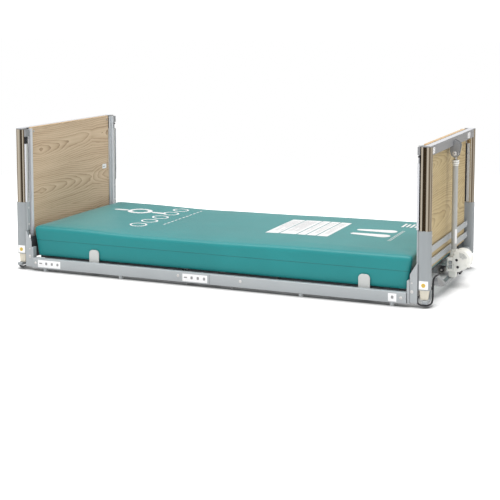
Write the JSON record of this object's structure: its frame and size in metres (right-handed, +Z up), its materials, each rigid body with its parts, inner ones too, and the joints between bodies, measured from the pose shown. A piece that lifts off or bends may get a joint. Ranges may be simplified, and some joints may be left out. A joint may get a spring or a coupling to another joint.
{
  "type": "adjustable hospital bed",
  "caption": "Floor-level profiling hospital bed: end masts that lift a jointed deck and foam mattress between wooden end panels, on small castors.",
  "frame": {"origin": "on the floor under the middle of the bed, in its lowest position", "axes": "+X towards the foot end, +Y towards the left side of a person lying on their back, +Z up"},
  "size_m": [2.364, 0.964, 0.733],
  "materials": {
    "grey_frame": "satin powder coat, light grey",
    "stainless_column": "polished stainless steel",
    "inner_leg": "zinc-plated steel",
    "actuator_rod": "bright steel",
    "aluminium_trim": "satin anodised, light grey",
    "oak_panel": "satin light oak laminate with horizontal grain",
    "cream_plastic": "matt moulded plastic, warm white",
    "castor_fork": "matt black nylon",
    "castor_wheel": "matt black rubber",
    "mattress_cover": "teal polyurethane-coated stretch fabric, satin"
  },
  "bodies": {
    "head_base": {"head_inner_leg_right": "inner_leg", "head_inner_leg_left": "inner_leg", "head_leg_foot_right": "cream_plastic", "head_leg_foot_left": "cream_plastic", "head_crossmember": "grey_frame", "head_lift_motor": "cream_plastic", "head_lift_tube": "aluminium_trim"},
    "head_mast": {"head_column_right": "stainless_column", "head_column_left": "stainless_column", "head_edge_profile_right": "aluminium_trim", "head_edge_profile_left": "aluminium_trim", "head_crossbar": "grey_frame", "head_panel": "oak_panel", "head_lift_rod": "actuator_rod"},
    "platform": {"head_sleeve_right": "grey_frame", "head_sleeve_left": "grey_frame", "head_upper_bar": "grey_frame", "head_lower_bar": "grey_frame", "foot_sleeve_right": "grey_frame", "foot_sleeve_left": "grey_frame", "foot_upper_bar": "grey_frame", "foot_lower_bar": "grey_frame", "side_rail_right": "grey_frame", "side_rail_left": "grey_frame", "seat_frame": "grey_frame", "mattress_seat": "mattress_cover", "control_box": "cream_plastic", "back_actuator": "cream_plastic", "knee_actuator": "cream_plastic"},
    "foot_mast": {"foot_column_right": "stainless_column", "foot_column_left": "stainless_column", "foot_edge_profile_right": "aluminium_trim", "foot_edge_profile_left": "aluminium_trim", "foot_crossbar": "grey_frame", "foot_panel": "oak_panel", "foot_lift_rod": "actuator_rod"},
    "foot_base": {"foot_inner_leg_right": "inner_leg", "foot_inner_leg_left": "inner_leg", "foot_leg_foot_right": "cream_plastic", "foot_leg_foot_left": "cream_plastic", "foot_crossmember": "grey_frame", "foot_lift_motor": "cream_plastic", "foot_lift_tube": "aluminium_trim"},
    "back_rest": {"back_section": "grey_frame", "mattress_back": "mattress_cover"},
    "thigh_rest": {"thigh_section": "grey_frame", "mattress_thigh": "mattress_cover"},
    "calf_rest": {"calf_section": "grey_frame", "mattress_calf": "mattress_cover"},
    "back_rod": {"back_actuator_rod": "actuator_rod"},
    "knee_rod": {"knee_actuator_rod": "actuator_rod"},
    "head_castor_right": {"head_castor_fork_right": "castor_fork"},
    "head_wheel_right": {"head_castor_wheel_right": "castor_wheel"},
    "head_castor_left": {"head_castor_fork_left": "castor_fork"},
    "head_wheel_left": {"head_castor_wheel_left": "castor_wheel"},
    "foot_castor_right": {"foot_castor_fork_right": "castor_fork"},
    "foot_wheel_right": {"foot_castor_wheel_right": "castor_wheel"},
    "foot_castor_left": {"foot_castor_fork_left": "castor_fork"},
    "foot_wheel_left": {"foot_castor_wheel_left": "castor_wheel"}
  },
  "joints": [
    {"name": "height_lift", "type": "slide", "parent": "head_base", "child": "head_mast", "axis": [0, 0, 1], "range_m": [0, 0.3]},
    {"name": "platform_lift", "type": "slide", "parent": "head_mast", "child": "platform", "axis": [0, 0, 1], "range_m": [0, 0.3]},
    {"name": "foot_mast_lift", "type": "slide", "parent": "platform", "child": "foot_mast", "axis": [0, 0, -1], "range_m": [0, 0.3]},
    {"name": "foot_base_drop", "type": "slide", "parent": "foot_mast", "child": "foot_base", "axis": [0, 0, -1], "range_m": [0, 0.3]},
    {"name": "backrest_tilt", "type": "hinge", "parent": "platform", "child": "back_rest", "pos_m": [-0.145, 0, 0.0555], "axis": [0, 1, 0], "range_deg": [0, 62], "deforming": ["mattress_seat"]},
    {"name": "back_rod_slide", "type": "slide", "parent": "platform", "child": "back_rod", "axis": [-1, 0, 0], "range_m": [0, 0.03]},
    {"name": "thigh_lift", "type": "hinge", "parent": "platform", "child": "thigh_rest", "pos_m": [0.06, 0, 0.0555], "axis": [0, -1, 0], "range_deg": [0, 30]},
    {"name": "calf_fold", "type": "hinge", "parent": "thigh_rest", "child": "calf_rest", "pos_m": [0.36, 0, 0.0555], "axis": [0, 1, 0], "range_deg": [0, 45.5]},
    {"name": "knee_rod_slide", "type": "slide", "parent": "platform", "child": "knee_rod", "axis": [1, 0, 0], "range_m": [0, 0.0175]},
    {"name": "head_castor_swivel_right", "type": "hinge", "parent": "head_base", "child": "head_castor_right", "pos_m": [-0.985, -0.265, 0.022], "axis": [0, 0, 1], "continuous": true},
    {"name": "head_castor_roll_right", "type": "hinge", "parent": "head_castor_right", "child": "head_wheel_right", "pos_m": [-0.973, -0.265, 0.022], "axis": [0, 1, 0], "continuous": true},
    {"name": "head_castor_swivel_left", "type": "hinge", "parent": "head_base", "child": "head_castor_left", "pos_m": [-0.985, 0.265, 0.022], "axis": [0, 0, 1], "continuous": true},
    {"name": "head_castor_roll_left", "type": "hinge", "parent": "head_castor_left", "child": "head_wheel_left", "pos_m": [-0.973, 0.265, 0.022], "axis": [0, 1, 0], "continuous": true},
    {"name": "foot_castor_swivel_right", "type": "hinge", "parent": "foot_base", "child": "foot_castor_right", "pos_m": [0.985, -0.265, 0.022], "axis": [0, 0, 1], "continuous": true},
    {"name": "foot_castor_roll_right", "type": "hinge", "parent": "foot_castor_right", "child": "foot_wheel_right", "pos_m": [0.973, -0.265, 0.022], "axis": [0, 1, 0], "continuous": true},
    {"name": "foot_castor_swivel_left", "type": "hinge", "parent": "foot_base", "child": "foot_castor_left", "pos_m": [0.985, 0.265, 0.022], "axis": [0, 0, 1], "continuous": true},
    {"name": "foot_castor_roll_left", "type": "hinge", "parent": "foot_castor_left", "child": "foot_wheel_left", "pos_m": [0.973, 0.265, 0.022], "axis": [0, 1, 0], "continuous": true}
  ],
  "couplings": [
    {"joint": "platform_lift", "follows": "height_lift", "ratio": 1},
    {"joint": "foot_mast_lift", "follows": "height_lift", "ratio": 1},
    {"joint": "foot_base_drop", "follows": "height_lift", "ratio": 1},
    {"joint": "back_rod_slide", "follows": "backrest_tilt", "m_per_rad": 0.02733},
    {"joint": "calf_fold", "follows": "thigh_lift", "ratio": 1.5},
    {"joint": "knee_rod_slide", "follows": "thigh_lift", "m_per_rad": 0.03199}
  ]
}
